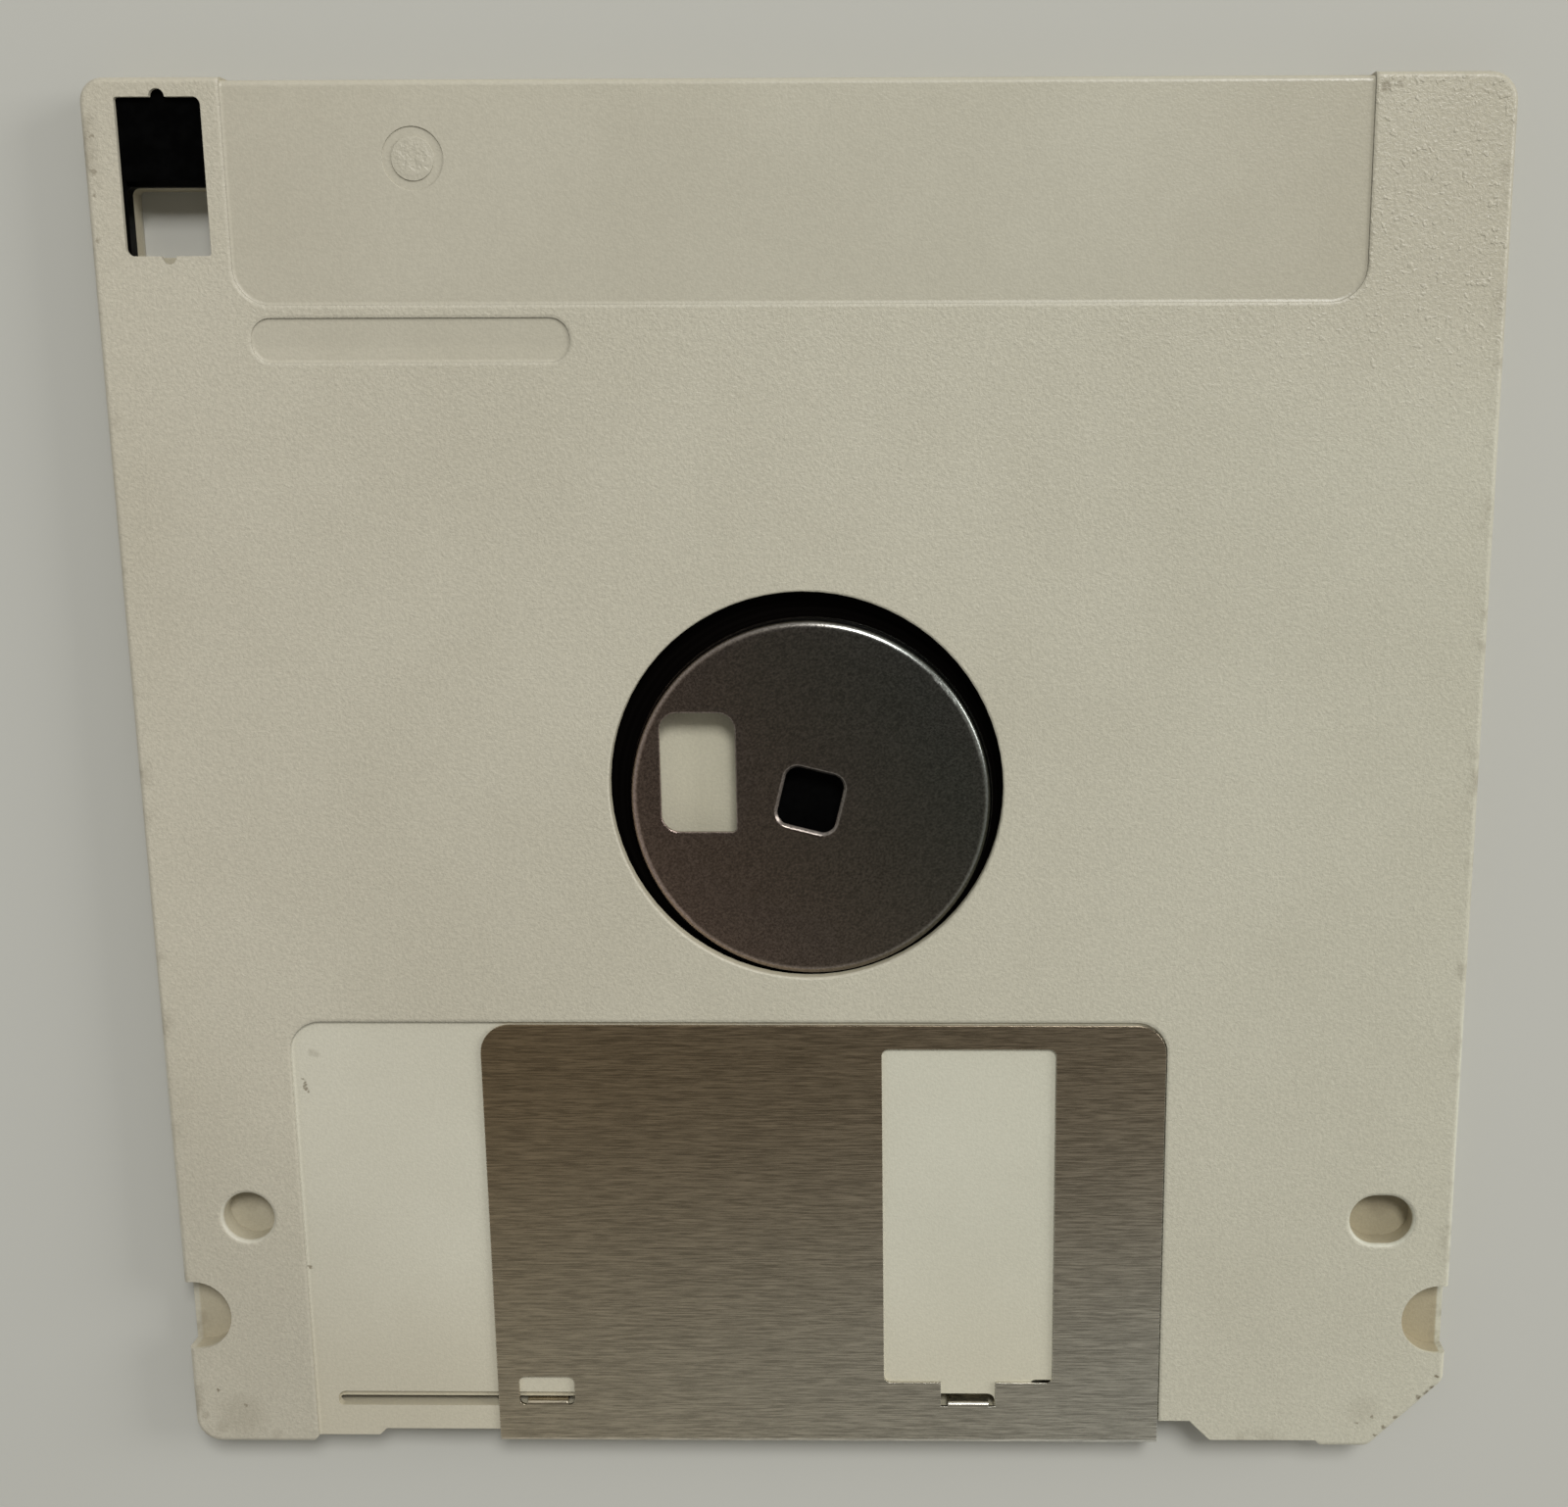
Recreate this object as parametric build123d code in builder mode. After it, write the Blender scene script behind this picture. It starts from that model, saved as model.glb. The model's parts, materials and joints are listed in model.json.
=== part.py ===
from build123d import *
import math
import os

# A 3.5 inch flexible disk in its hard case, lying label side down with the hub side up.
# Millimetres. X runs across the case, Y from the shutter edge to the label edge, Z up.
# The origin is at the middle of the case, on the surface that it lies on.

# Case
case_width = 90.0
case_length = 94.0
front_height = 1.65
rear_height = 1.65
front_wall = 0.9
rear_wall = 0.9
side_wall = 1.2
edge_round = 0.4
label_left_round = 1.5
label_right_round = 1.8
shutter_left_round = 1.8
corner_cut = 5.2
corner_cut_round = 1.0
post_radius = 1.2
post_inset = 4.0

# Locating holes of the hub side
locating_inset = 17.5
locating_side_inset = 5.0
locating_bore = 3.6
locating_slot_length = 4.4
locating_rim_round = 0.35
locating_boss_wall = 0.9

# Seat of the disk
hub_above_locating = 31.0
hub_hole_diameter = 26.5
hub_hole_round = 0.15
rib_wall = 0.8
seat_from_flange_edge = 0.7
seat_width = 1.0
seat_clearance = 0.05

# Hub: a pressed cup with a flange. The disk has dropped to the lower edge of its hole.
hub_hole_gap = 1.0
hub_sheet = 0.3
hub_height = 1.45
hub_edge_round = 0.55
hub_flange_width = 2.9
hub_shift_x = 0.25
hub_shift_y = -0.9
hub_square = 4.0
hub_square_round = 0.85
hub_square_bevel = 0.2
hub_square_turn = -14.0
drive_window_width = 5.1
drive_window_length = 8.2
drive_window_left = -7.55
drive_window_up = 1.9
drive_window_round = 1.2
drive_window_sharp_round = 0.35

# Magnetic film and the adhesive ring that holds it to the flange
film_wall_gap = 1.05
film_thickness = 0.08
film_hub_gap = 0.08
film_above_split = 0.05
adhesive_thickness = 0.05
adhesive_inset = 0.15

# Liners, lifter and wear pad
liner_thickness = 0.2
liner_edge_gap = 0.4
liner_seat_gap = 1.4
liner_hole_gap = 1.45
liner_slot_margin = 0.8
lifter_width = 13.0
lifter_length = 20.0
lifter_sheet = 0.125
lifter_tape_width = 4.0
lifter_rise = 0.07
lifter_top_gap = 0.005
lifter_pocket_gap = 0.5
lifter_from_window = 4.5
lifter_from_wall = 18.3
wear_pad_diameter = 8.0
wear_pad_thickness = 0.3

# Head window of both shells
head_window_width = 9.0
head_window_length = 23.0
head_window_from_edge = 5.7
head_window_round = 0.6

# Shutter: one folded sheet, shown closed
shutter_sheet = 0.2
shutter_left_inset = 22.15
shutter_right_margin = 7.55
shutter_top_margin = 1.7
shutter_setback = 0.15
shutter_corner = 2.0
shutter_bend = 0.35
shutter_inset = 0.03
shutter_overtravel = 2.0
shutter_window_side = 1.55
shutter_window_below = 0.8
shutter_window_above = 1.4
shutter_window_cover = 0.45
shutter_window_round = 0.5
shutter_face_gap = 0.02
shutter_recess_gap = 0.25
shutter_stop_gap = 0.08
shutter_recess_round = 2.2
tab_width = 2.9
tab_bend = 0.3
tab_up = 2.9
driver_tab_length = 1.3
driver_notch_side = 0.525
spring_tab_length = 1.6
spring_tab_from_left = 3.5
spring_hole_side = 0.55
spring_hole_length = 2.2
spring_hole_round = 0.45

# Slot of the rear shell for the shutter's tabs, with a shelf along its upper side and a relief slot beside it
tab_slot_width = 1.1
tab_slot_margin = 0.2
tab_slot_left_gap = 0.75
tab_slot_right_gap = 0.45
tab_shelf_width = 0.5
tab_shelf_depth = 0.35
tab_slot_wide_length = 22.9
tab_ledge_overlap = 2.25
tab_ledge_length = 4.0
relief_slot_left = 15.4
relief_slot_length = 5.0
relief_slot_top = 5.05
relief_slot_width = 1.9
relief_slot_round = 0.45

# Steps of the shutter edge
step_shallow = 0.5
step_middle = 1.0
step_deep = 2.0
step_left_inset = 8.4
step_left_middle_inset = 13.3
step_centre = 8.0
step_right_deep_inset = 18.1
step_right_inset = 8.5

# Recesses of the outer faces
label_side_inset = 8.9
label_wrap_length = 13.9
label_face_length = 54.0
label_depth = 0.12
label_edge_depth = 0.2
label_round = 2.3
pill_length = 20.5
pill_width = 2.8
pill_end_flat = 0.2
pill_depth = 0.1
pill_from_label_side = 11.15
pill_below_label = 2.2
gate_diameter = 3.9
gate_core_diameter = 2.7
gate_depth = 0.08
gate_from_label_side = 11.9
gate_from_edge = 4.95

# Grip notches in the sides
grip_radius = 2.6
grip_inset = 0.65
grip_from_shutter_edge = 9.95
grip_boss_wall = 0.8

# Write protection: a slider in a pocket, seen through a window, over a hole through the case
protect_side_inset = 4.95
protect_window_width = 5.45
protect_window_length = 9.65
protect_window_inset = 1.2
protect_window_round = 0.5
protect_window_sharp_round = 0.2
protect_notch_radius = 0.5
protect_lip = 0.35
protect_hole_width = 5.6
protect_hole_length = 4.25
protect_hole_round = 0.3
pocket_wall = 0.7
slider_thickness = 0.95
slider_side_overlap = 0.5
slider_top_overlap = 0.45
slider_end_overlap = 0.15
slider_hole_gap = 0.05
slider_arm_width = 0.7
slider_gap = 0.1
slider_face_gap = 0.05
platform_gap = 0.05
slider_round = 0.3
slider_inner_round = 0.5
slider_bevel_width = 0.35
slider_bevel_depth = 0.45

# Shutter spring: a wire coil with two legs, in the corner between the disk and the tab slot
spring_wire = 0.4
spring_coil_radius = 2.0
spring_turns = 2
spring_turn_gap = 0.04
spring_side_inset = 13.0
spring_from_shutter_edge = 8.7
spring_anchor_up = 4.0
spring_end_gap = 0.08

# Reach of a cut past the surface that it opens, and how near two heights count as one
past = 1.0
near = 0.01

# Places worked out from the sizes above
split_height = front_height
case_height = front_height + rear_height
half_width = case_width / 2
half_length = case_length / 2
locating_x = half_width - locating_side_inset
locating_y = -half_length + locating_inset
hub_y = locating_y + hub_above_locating
disk_x = hub_shift_x
disk_y = hub_y + hub_shift_y
drive_x = disk_x + drive_window_left
drive_y = disk_y + drive_window_up
well_radius = half_width - side_wall
rib_radius = well_radius + rib_wall
rear_ceiling = case_height - rear_wall

hub_radius = hub_hole_diameter / 2 - hub_hole_gap
flange_radius = hub_radius + hub_flange_width
film_radius = well_radius - film_wall_gap
film_hole_radius = hub_radius + film_hub_gap
film_bottom = split_height + film_above_split
flange_top = film_bottom - adhesive_thickness
flange_bottom = flange_top - hub_sheet
hub_top = flange_bottom + hub_height
seat_top = flange_bottom - seat_clearance
seat_outer = flange_radius - seat_from_flange_edge
seat_inner = seat_outer - seat_width
lifter_pocket_depth = lifter_sheet + lifter_rise + lifter_top_gap
lifter_y = hub_y - well_radius + lifter_from_wall

head_window_bottom = -half_length + head_window_from_edge
head_window_top = head_window_bottom + head_window_length
window_width = head_window_width + 2 * shutter_window_side
window_bottom = head_window_bottom - shutter_window_below
window_top = head_window_top + shutter_window_above
window_x = (head_window_width + window_width) / 2 + shutter_window_cover

shutter_left = -half_width + shutter_left_inset
shutter_right = window_x + window_width / 2 + shutter_right_margin
shutter_bottom = -half_length + shutter_setback
shutter_top = window_top + shutter_top_margin
shutter_travel = window_x + shutter_overtravel
shutter_low = shutter_inset
shutter_high = case_height - shutter_inset
shutter_recess_depth = shutter_inset + shutter_sheet + shutter_face_gap
tab_y = shutter_bottom + tab_up
spring_tab_x = shutter_left + spring_tab_from_left
recess_left = shutter_left - shutter_travel - shutter_recess_gap
recess_right = shutter_right + shutter_stop_gap
recess_top = shutter_top + shutter_recess_gap
slot_left = spring_tab_x - tab_width / 2 - shutter_travel - tab_slot_left_gap
slot_right = window_x + tab_width / 2 + tab_slot_right_gap
slot_bottom = tab_y - tab_slot_margin
slot_top = slot_bottom + tab_slot_width
narrow_slot_width = tab_slot_width - tab_shelf_width
wide_slot_left = slot_right - tab_slot_wide_length
shelf_height = case_height - shutter_recess_depth - tab_shelf_depth
ledge_left = slot_right - tab_ledge_overlap
relief_bottom = -half_length + relief_slot_top - relief_slot_width

step_left = -half_width + step_left_inset
step_left_middle = -half_width + step_left_middle_inset
step_right_deep = half_width - step_right_deep_inset
step_right = half_width - step_right_inset
label_width = case_width - 2 * label_side_inset
label_bottom = half_length - label_wrap_length
pill_x = -label_width / 2 + pill_from_label_side
pill_y = label_bottom - pill_below_label
gate_x = -label_width / 2 + gate_from_label_side
gate_y = half_length - gate_from_edge
grip_x = half_width - grip_inset
grip_y = -half_length + grip_from_shutter_edge

protect_x = -half_width + protect_side_inset
protect_top = half_length - protect_window_inset
protect_bottom = protect_top - protect_window_length
protect_y = (protect_top + protect_bottom) / 2
protect_left = protect_x - protect_window_width / 2
protect_right = protect_x + protect_window_width / 2
pocket_ceiling = case_height - protect_lip
slider_high = pocket_ceiling - slider_face_gap
slider_low = slider_high - slider_thickness
slider_floor = slider_low - slider_face_gap
slider_half = protect_window_width / 2 + slider_side_overlap
slider_top = protect_top + slider_top_overlap
slider_bottom = protect_bottom + protect_hole_length + slider_hole_gap
slider_travel = protect_hole_length + slider_end_overlap
arm_bottom = protect_bottom - slider_end_overlap
pocket_half = slider_half + slider_gap
pocket_top = slider_top + slider_gap
pocket_bottom = arm_bottom - slider_travel - slider_gap

post_places = [
    (half_width - post_inset, half_length - post_inset),
    (-half_width + post_inset, pocket_bottom - pocket_wall - 2 * post_radius),
    (-half_width + post_inset, locating_y + locating_bore / 2 + locating_boss_wall + 2 * post_radius),
    (locating_x - post_inset, slot_bottom + 2 * post_radius),
]


def corner(sketch, x, y):
    """The corner of a sketch that lies nearest to a point."""
    return sketch.vertices().sort_by_distance((x, y))[0]


def rim(shell, x, y, z, reach):
    """The edges of a shell at one height whose middles lie within reach of a point."""
    level = shell.edges().filter_by_position(Axis.Z, z - near, z + near)
    column = level.filter_by_position(Axis.X, x - reach, x + reach)
    return column.filter_by_position(Axis.Y, y - reach, y + reach)


def case_plan():
    """Plan of the case: a rectangle with one corner cut off and the others rounded."""
    with BuildSketch() as plan:
        Rectangle(case_width, case_length)
        chamfer(corner(plan, half_width, -half_length), corner_cut)
        fillet(corner(plan, half_width, -half_length + corner_cut), corner_cut_round)
        fillet(corner(plan, half_width - corner_cut, -half_length), corner_cut_round)
        fillet(corner(plan, -half_width, -half_length), shutter_left_round)
        fillet(corner(plan, -half_width, half_length), label_left_round)
        fillet(corner(plan, half_width, half_length), label_right_round)
    return plan.sketch


def edge_steps():
    """What the stepped shutter edge takes off the plan."""
    shallow = -half_length + step_shallow
    middle = -half_length + step_middle
    deep = -half_length + step_deep
    with BuildSketch() as steps:
        with BuildLine():
            Polyline(
                (step_left - past, -half_length - past),
                (step_left + step_shallow, shallow),
                (step_left_middle, shallow),
                (step_left_middle + step_middle - step_shallow, middle),
                (step_centre, middle),
                (step_centre, deep),
                (step_right_deep, deep),
                (step_right_deep + step_deep - step_shallow, shallow),
                (step_right - step_shallow, shallow),
                (step_right + past, -half_length - past),
                close=True,
            )
        make_face()
    return steps.sketch


def hollow_plan():
    """Plan of the space inside a shell: the round well of the disk, and the corners beyond its rib."""
    with BuildSketch() as plan:
        add(case_plan())
        offset(amount=-side_wall, kind=Kind.INTERSECTION)
        with Locations((0, slot_bottom)):
            Rectangle(case_width, case_length, align=(Align.CENTER, Align.MAX), mode=Mode.SUBTRACT)
        with Locations((0, hub_y)):
            Circle(rib_radius, mode=Mode.SUBTRACT)
        with Locations((-locating_x, locating_y)):
            Circle(locating_bore / 2 + locating_boss_wall, mode=Mode.SUBTRACT)
        with Locations((locating_x, locating_y)):
            Circle(locating_slot_length / 2 + locating_boss_wall, mode=Mode.SUBTRACT)
        with Locations((-grip_x, grip_y), (grip_x, grip_y)):
            Circle(grip_radius + grip_boss_wall, mode=Mode.SUBTRACT)
        with Locations((-half_width, pocket_bottom - pocket_wall)):
            Rectangle(
                half_width + protect_x + pocket_half + pocket_wall,
                case_length,
                align=(Align.MIN, Align.MIN),
                mode=Mode.SUBTRACT,
            )
        with Locations(*post_places):
            Circle(post_radius, mode=Mode.SUBTRACT)
        with Locations((0, hub_y)):
            Circle(well_radius)
    return plan.sketch


def label_recess(length):
    """What a label recess takes off the upper side: its face and the label edge, round the corner."""
    face = case_height - label_depth
    edge = half_length - label_edge_depth
    with BuildPart() as recess:
        with BuildSketch(Plane.YZ.offset(-label_width / 2)) as section:
            with BuildLine():
                Polyline(
                    (half_length - length, face),
                    (edge, face),
                    (edge, split_height),
                    (half_length + past, split_height),
                    (half_length + past, case_height + past),
                    (half_length - length, case_height + past),
                    close=True,
                )
            make_face()
            fillet(corner(section, edge, face), edge_round)
        extrude(amount=label_width)
        inner_corners = recess.edges().filter_by(Axis.Z).group_by(Axis.Y)[0]
        fillet(inner_corners, label_round)
    return recess.part


def shutter_recess_plan():
    """Plan of the shallow recess that the shutter slides in, open at the shutter edge."""
    with BuildSketch() as plan:
        with Locations((recess_left, recess_top)):
            Rectangle(recess_right - recess_left, case_length, align=(Align.MIN, Align.MAX))
        fillet(corner(plan, recess_left, recess_top), shutter_recess_round)
        fillet(corner(plan, recess_right, recess_top), shutter_recess_round)
    return plan.sketch


def head_window_plan():
    """Plan of the window for the read and write heads."""
    with BuildSketch() as plan:
        with Locations((0, (head_window_bottom + head_window_top) / 2)):
            RectangleRounded(head_window_width, head_window_length, head_window_round)
    return plan.sketch


def pocket_plan():
    """Plan of the pocket that the write protection slider moves in."""
    with BuildSketch() as plan:
        with Locations((protect_x, pocket_bottom)):
            Rectangle(2 * pocket_half, pocket_top - pocket_bottom, align=(Align.CENTER, Align.MIN))
    return plan.sketch


def ring(x, y, z, outer, inner, height):
    """A flat ring."""
    with BuildPart() as piece:
        with BuildSketch(Plane.XY.offset(z)):
            with Locations((x, y)):
                Circle(outer)
                Circle(inner, mode=Mode.SUBTRACT)
        extrude(amount=height)
    return piece.part


def liner(z, hole_radius):
    """A ring of fabric with a slot over the head window."""
    slot_width = head_window_width + 2 * liner_slot_margin
    with BuildPart() as piece:
        with BuildSketch(Plane.XY.offset(z)):
            with Locations((0, hub_y)):
                Circle(well_radius - liner_edge_gap)
                Circle(hole_radius, mode=Mode.SUBTRACT)
            with Locations((0, head_window_top + liner_slot_margin)):
                Rectangle(slot_width, case_length, align=(Align.CENTER, Align.MAX), mode=Mode.SUBTRACT)
        extrude(amount=liner_thickness)
    return piece.part


def bent_tab(x, length):
    """A tab bent down from the shutter's upper leaf."""
    with BuildPart() as tab:
        with BuildSketch(Plane.YZ.offset(x - tab_width / 2)) as section:
            with Locations((tab_y, shutter_high)):
                Rectangle(tab_bend, length, align=(Align.MIN, Align.MAX))
            fillet(corner(section, tab_y + tab_bend, shutter_high), tab_bend - shutter_inset)
            with Locations((tab_y, shutter_high - shutter_sheet)):
                Rectangle(
                    tab_bend - shutter_sheet,
                    length,
                    align=(Align.MIN, Align.MAX),
                    mode=Mode.SUBTRACT,
                )
        extrude(amount=tab_width)
    return tab.part


os.makedirs("parts", exist_ok=True)

# Front shell: the label side, which the disk lies on
with BuildPart() as front_shell:
    with BuildSketch():
        add(case_plan())
    extrude(amount=split_height)
    fillet(front_shell.faces().sort_by(Axis.Z)[0].edges(), edge_round)
    with BuildSketch():
        add(edge_steps())
    extrude(amount=split_height, mode=Mode.SUBTRACT)

    # Hollow, with the ledge that stops short of the tab slot's right end left standing
    with BuildSketch(Plane.XY.offset(front_wall)):
        add(hollow_plan())
        with Locations((ledge_left, slot_bottom)):
            Rectangle(tab_ledge_length, tab_slot_width, align=(Align.MIN, Align.MIN), mode=Mode.SUBTRACT)
        with Locations((0, hub_y)):
            Circle(well_radius)
    extrude(amount=split_height - front_wall, mode=Mode.SUBTRACT)

    # Raised ring that the hub's flange lies on
    with BuildSketch(Plane.XY.offset(front_wall)):
        with Locations((0, hub_y)):
            Circle(seat_outer)
            Circle(seat_inner, mode=Mode.SUBTRACT)
    extrude(amount=seat_top - front_wall)

    # Shallow pocket under the lifter
    with BuildSketch(Plane.XY.offset(front_wall)):
        with Locations((-head_window_width / 2 - lifter_from_window, lifter_y)):
            Rectangle(
                lifter_width + lifter_pocket_gap,
                lifter_length + lifter_pocket_gap,
                align=(Align.MAX, Align.CENTER),
            )
    extrude(amount=-lifter_pocket_depth, mode=Mode.SUBTRACT)

    # Platform that the slider moves on, and the hole through the case
    with BuildSketch(Plane.XY.offset(split_height)):
        add(pocket_plan())
        offset(amount=-platform_gap, kind=Kind.INTERSECTION)
    extrude(amount=slider_floor - split_height)
    with BuildSketch():
        with Locations((protect_x, protect_bottom)):
            RectangleRounded(
                protect_hole_width,
                protect_hole_length,
                protect_hole_round,
                align=(Align.CENTER, Align.MIN),
            )
    extrude(amount=slider_floor, mode=Mode.SUBTRACT)

    # Outer face
    with BuildSketch():
        add(head_window_plan())
    extrude(amount=split_height, mode=Mode.SUBTRACT)
    with BuildSketch():
        add(shutter_recess_plan())
    extrude(amount=shutter_recess_depth, mode=Mode.SUBTRACT)
    upper_recess = label_recess(label_face_length)
    add(upper_recess.mirror(Plane.XY.offset(case_height / 2)), mode=Mode.SUBTRACT)

front_shell.part.label = "front_shell"
export_step(front_shell.part, "parts/front_shell.step")

# Rear shell: the hub side, which faces up
with BuildPart() as rear_shell:
    with BuildSketch(Plane.XY.offset(split_height)):
        add(case_plan())
    extrude(amount=case_height - split_height)
    fillet(rear_shell.faces().sort_by(Axis.Z)[-1].edges(), edge_round)
    with BuildSketch(Plane.XY.offset(split_height)):
        add(edge_steps())
    extrude(amount=case_height - split_height, mode=Mode.SUBTRACT)
    with BuildSketch(Plane.XY.offset(split_height)):
        add(hollow_plan())
    extrude(amount=rear_ceiling - split_height, mode=Mode.SUBTRACT)

    # Hub hole and locating holes, with rounded rims
    with BuildSketch(Plane.XY.offset(split_height)):
        with Locations((0, hub_y)):
            Circle(hub_hole_diameter / 2)
        with Locations((-locating_x, locating_y)):
            Circle(locating_bore / 2)
        with Locations((locating_x, locating_y)):
            SlotOverall(locating_slot_length, locating_bore)
    extrude(amount=case_height - split_height, mode=Mode.SUBTRACT)
    fillet(rim(rear_shell, 0, hub_y, case_height, hub_hole_diameter), hub_hole_round)
    for side in (-1, 1):
        hole_rim = rim(rear_shell, side * locating_x, locating_y, case_height, locating_slot_length)
        fillet(hole_rim, locating_rim_round)

    # Grip notches
    with BuildSketch(Plane.XY.offset(split_height)):
        with Locations((-grip_x, grip_y), (grip_x, grip_y)):
            Circle(grip_radius)
    extrude(amount=case_height - split_height, mode=Mode.SUBTRACT)

    # Shutter recess, head window, tab slot and relief slot
    with BuildSketch(Plane.XY.offset(case_height)):
        add(shutter_recess_plan())
    extrude(amount=-shutter_recess_depth, mode=Mode.SUBTRACT)
    with BuildSketch(Plane.XY.offset(split_height)):
        add(head_window_plan())
        with Locations(((slot_left + slot_right) / 2, slot_bottom + narrow_slot_width / 2)):
            SlotOverall(slot_right - slot_left, narrow_slot_width)
        with Locations(((wide_slot_left + slot_right) / 2, (slot_bottom + slot_top) / 2)):
            SlotOverall(slot_right - wide_slot_left, tab_slot_width)
        with Locations((relief_slot_left, relief_bottom)):
            RectangleRounded(
                relief_slot_length,
                relief_slot_width,
                relief_slot_round,
                align=(Align.MIN, Align.MIN),
            )
    extrude(amount=case_height - split_height, mode=Mode.SUBTRACT)
    with BuildSketch(Plane.XY.offset(shelf_height)):
        with Locations(((slot_left + slot_right) / 2, (slot_bottom + slot_top) / 2)):
            SlotOverall(slot_right - slot_left, tab_slot_width)
    extrude(amount=case_height - shelf_height, mode=Mode.SUBTRACT)

    # Pocket of the slider and the window over it, with a small notch at the middle of each end
    with BuildSketch(Plane.XY.offset(split_height)):
        add(pocket_plan())
    extrude(amount=pocket_ceiling - split_height, mode=Mode.SUBTRACT)
    with BuildSketch(Plane.XY.offset(pocket_ceiling)) as protect_window:
        with Locations((protect_x, protect_y)):
            Rectangle(protect_window_width, protect_window_length)
        for x, y, radius in (
            (protect_left, protect_top, protect_window_sharp_round),
            (protect_right, protect_top, protect_window_round),
            (protect_left, protect_bottom, protect_window_round),
            (protect_right, protect_bottom, protect_window_sharp_round),
        ):
            fillet(corner(protect_window, x, y), radius)
        with Locations((protect_x, protect_top), (protect_x, protect_bottom)):
            Circle(protect_notch_radius)
    extrude(amount=protect_lip, mode=Mode.SUBTRACT)

    # Label wrap recess, pill-shaped recess and gate mark
    add(label_recess(label_wrap_length), mode=Mode.SUBTRACT)
    with BuildSketch(Plane.XY.offset(case_height)):
        with Locations((pill_x, pill_y)):
            RectangleRounded(pill_length, pill_width, (pill_width - pill_end_flat) / 2)
    extrude(amount=-pill_depth, mode=Mode.SUBTRACT)
    with BuildSketch(Plane.XY.offset(case_height - label_depth)):
        with Locations((gate_x, gate_y)):
            Circle(gate_diameter / 2)
            Circle(gate_core_diameter / 2, mode=Mode.SUBTRACT)
    extrude(amount=-gate_depth, mode=Mode.SUBTRACT)

rear_shell.part.label = "rear_shell"
export_step(rear_shell.part, "parts/rear_shell.step")

# Front liner, on the front shell's floor round the raised ring
with BuildPart() as front_liner:
    add(liner(front_wall, seat_outer + liner_seat_gap))

front_liner.part.label = "front_liner"
export_step(front_liner.part, "parts/front_liner.step")

# Rear liner, on the rear shell's ceiling round the hub hole
with BuildPart() as rear_liner:
    add(liner(rear_ceiling - liner_thickness, hub_hole_diameter / 2 + liner_hole_gap))

rear_liner.part.label = "rear_liner"
export_step(rear_liner.part, "parts/rear_liner.step")

# Lifter: a leaf taped down along one side, its free side rising to the liner
lifter_right = -head_window_width / 2 - lifter_from_window - lifter_pocket_gap / 2
lifter_bottom = front_wall - lifter_pocket_depth
with BuildPart() as liner_lifter:
    with BuildSketch(Plane.XZ.offset(-lifter_y)):
        with BuildLine():
            Polyline(
                (lifter_right, lifter_bottom + lifter_rise),
                (lifter_right - lifter_width + lifter_tape_width, lifter_bottom),
                (lifter_right - lifter_width, lifter_bottom),
                (lifter_right - lifter_width, lifter_bottom + lifter_sheet),
                (lifter_right - lifter_width + lifter_tape_width, lifter_bottom + lifter_sheet),
                (lifter_right, lifter_bottom + lifter_rise + lifter_sheet),
                close=True,
            )
        make_face()
    extrude(amount=lifter_length / 2, both=True)

liner_lifter.part.label = "liner_lifter"
export_step(liner_lifter.part, "parts/liner_lifter.step")

# Wear pad under the middle of the hub
with BuildPart() as centre_wear_pad:
    with BuildSketch(Plane.XY.offset(front_wall)):
        with Locations((0, hub_y)):
            Circle(wear_pad_diameter / 2)
    extrude(amount=wear_pad_thickness)

centre_wear_pad.part.label = "centre_wear_pad"
export_step(centre_wear_pad.part, "parts/centre_wear_pad.step")

# Hub: a round cup, open downwards, with a flange
hub_axis = Axis((disk_x, disk_y, 0), (0, 0, 1))
with BuildPart() as hub:
    with BuildSketch(Plane((disk_x, disk_y, 0), x_dir=(1, 0, 0), z_dir=(0, -1, 0))) as hub_section:
        with BuildLine():
            Polyline(
                (0, hub_top),
                (hub_radius, hub_top),
                (hub_radius, flange_top),
                (flange_radius, flange_top),
                (flange_radius, flange_bottom),
                (hub_radius - hub_sheet, flange_bottom),
                (hub_radius - hub_sheet, hub_top - hub_sheet),
                (0, hub_top - hub_sheet),
                close=True,
            )
        make_face()
        fillet(corner(hub_section, hub_radius, hub_top), hub_edge_round)
        fillet(corner(hub_section, hub_radius - hub_sheet, hub_top - hub_sheet), hub_edge_round - hub_sheet)
    revolve(axis=hub_axis)

    # Square hole for the spindle, with a bevelled rim
    with BuildSketch(Plane.XY.offset(hub_top)):
        with Locations((disk_x, disk_y)):
            RectangleRounded(hub_square, hub_square, hub_square_round, rotation=hub_square_turn)
    extrude(amount=-hub_sheet, mode=Mode.SUBTRACT)
    chamfer(rim(hub, disk_x, disk_y, hub_top, hub_square), hub_square_bevel)

    # Window for the drive pin, with one corner sharper than the others
    with BuildSketch(Plane.XY.offset(hub_top)) as drive_window:
        sharp_x = drive_x + drive_window_width / 2
        sharp_y = drive_y - drive_window_length / 2
        with Locations((drive_x, drive_y)):
            Rectangle(drive_window_width, drive_window_length)
        fillet(corner(drive_window, sharp_x, sharp_y), drive_window_sharp_round)
        fillet(drive_window.vertices().sort_by_distance((sharp_x, sharp_y))[2:], drive_window_round)
    extrude(amount=-hub_sheet, mode=Mode.SUBTRACT)

hub.part.label = "hub"
export_step(hub.part, "parts/hub.step")

# Adhesive ring on the flange, and the magnetic film on it
adhesive_inner = film_hole_radius + adhesive_inset
adhesive_outer = flange_radius - adhesive_inset
with BuildPart() as hub_adhesive_ring:
    add(ring(disk_x, disk_y, flange_top, adhesive_outer, adhesive_inner, adhesive_thickness))

hub_adhesive_ring.part.label = "hub_adhesive_ring"
export_step(hub_adhesive_ring.part, "parts/hub_adhesive_ring.step")

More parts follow.
